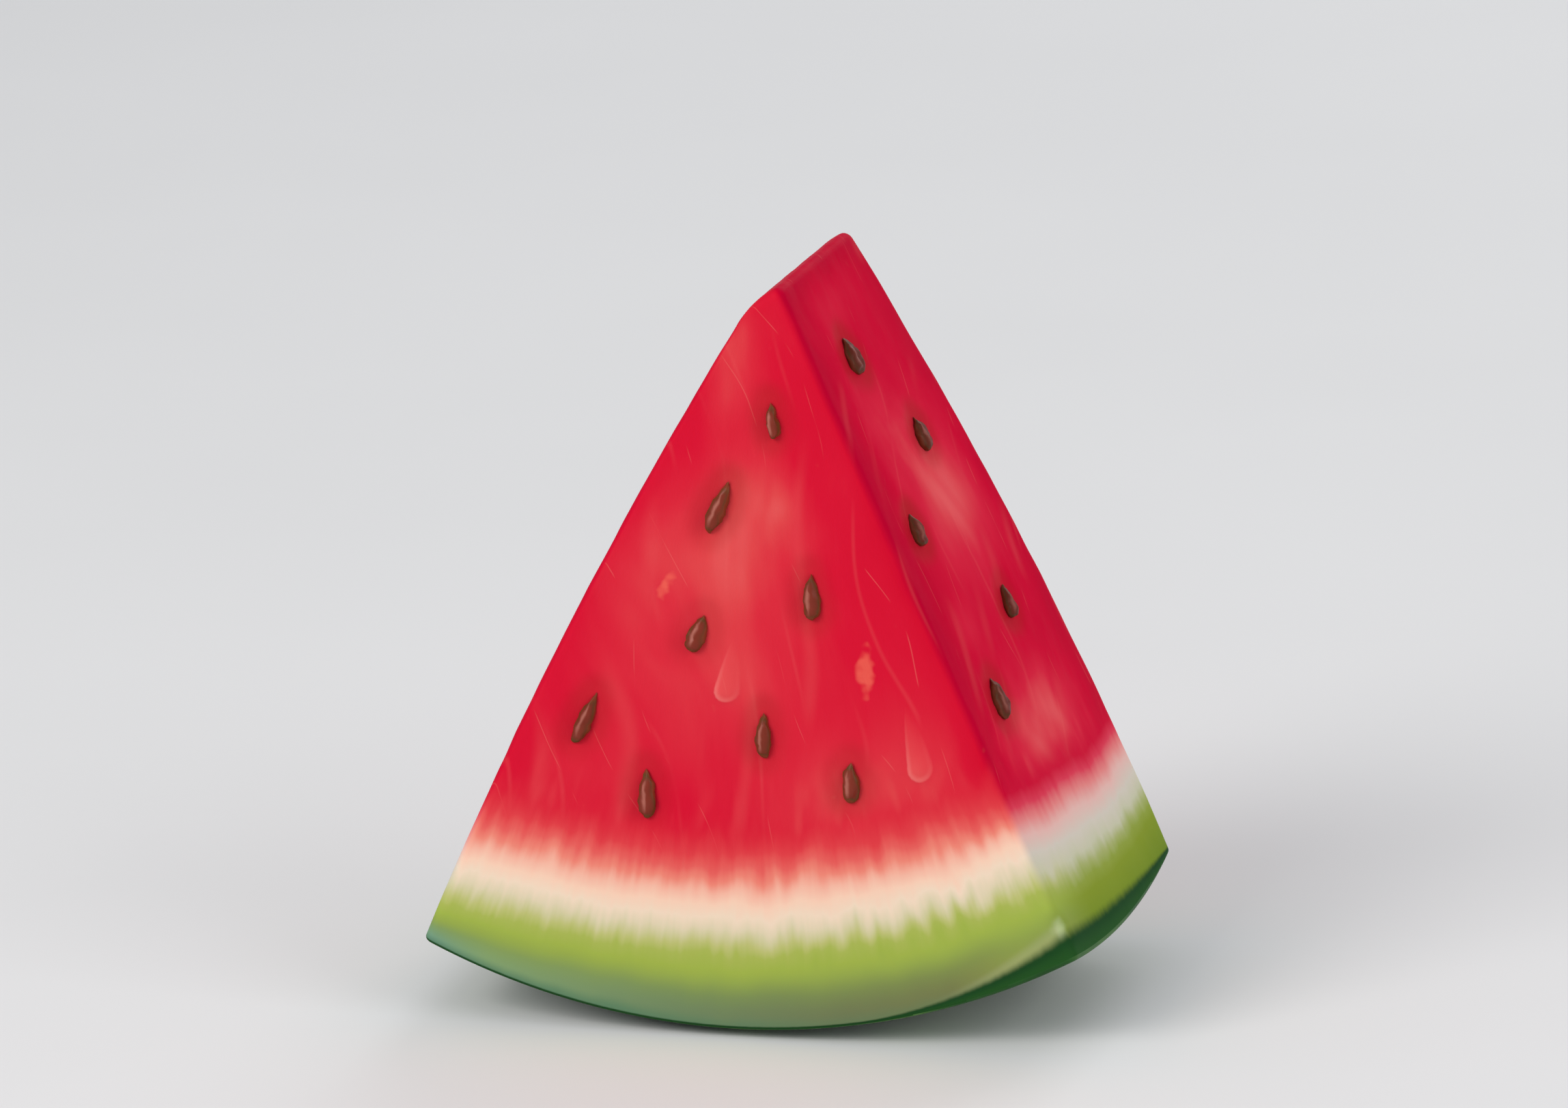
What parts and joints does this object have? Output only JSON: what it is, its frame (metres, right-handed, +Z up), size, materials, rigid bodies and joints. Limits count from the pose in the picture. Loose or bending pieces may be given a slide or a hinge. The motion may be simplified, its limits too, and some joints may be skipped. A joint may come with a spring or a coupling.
{
  "type": "watermelon wedge",
  "caption": "Wedge cut from a ripe watermelon, standing on its rind: red flesh with dark seeds, a pale inner rind and a green outer rind.",
  "frame": {"origin": "middle of the flat spot under the rind, straight below the middle of the melon", "axes": "+Z up from the rind to the tip, +X to the right of the front cut face, +Y away from it through the thickness"},
  "size_m": [0.1099, 0.0563, 0.1199],
  "materials": {
    "flesh": "moist red melon flesh, soft and slightly translucent, with fine grain running from the tip to the rind",
    "rind": "firm rind as cut: cream next to the flesh, passing into yellow green and grey green",
    "skin": "smooth waxy dark green skin",
    "seed": "smooth brown seed coat, wet with juice"
  },
  "bodies": {
    "root": {"watermelon_wedge": "flesh"}
  },
  "joints": []
}
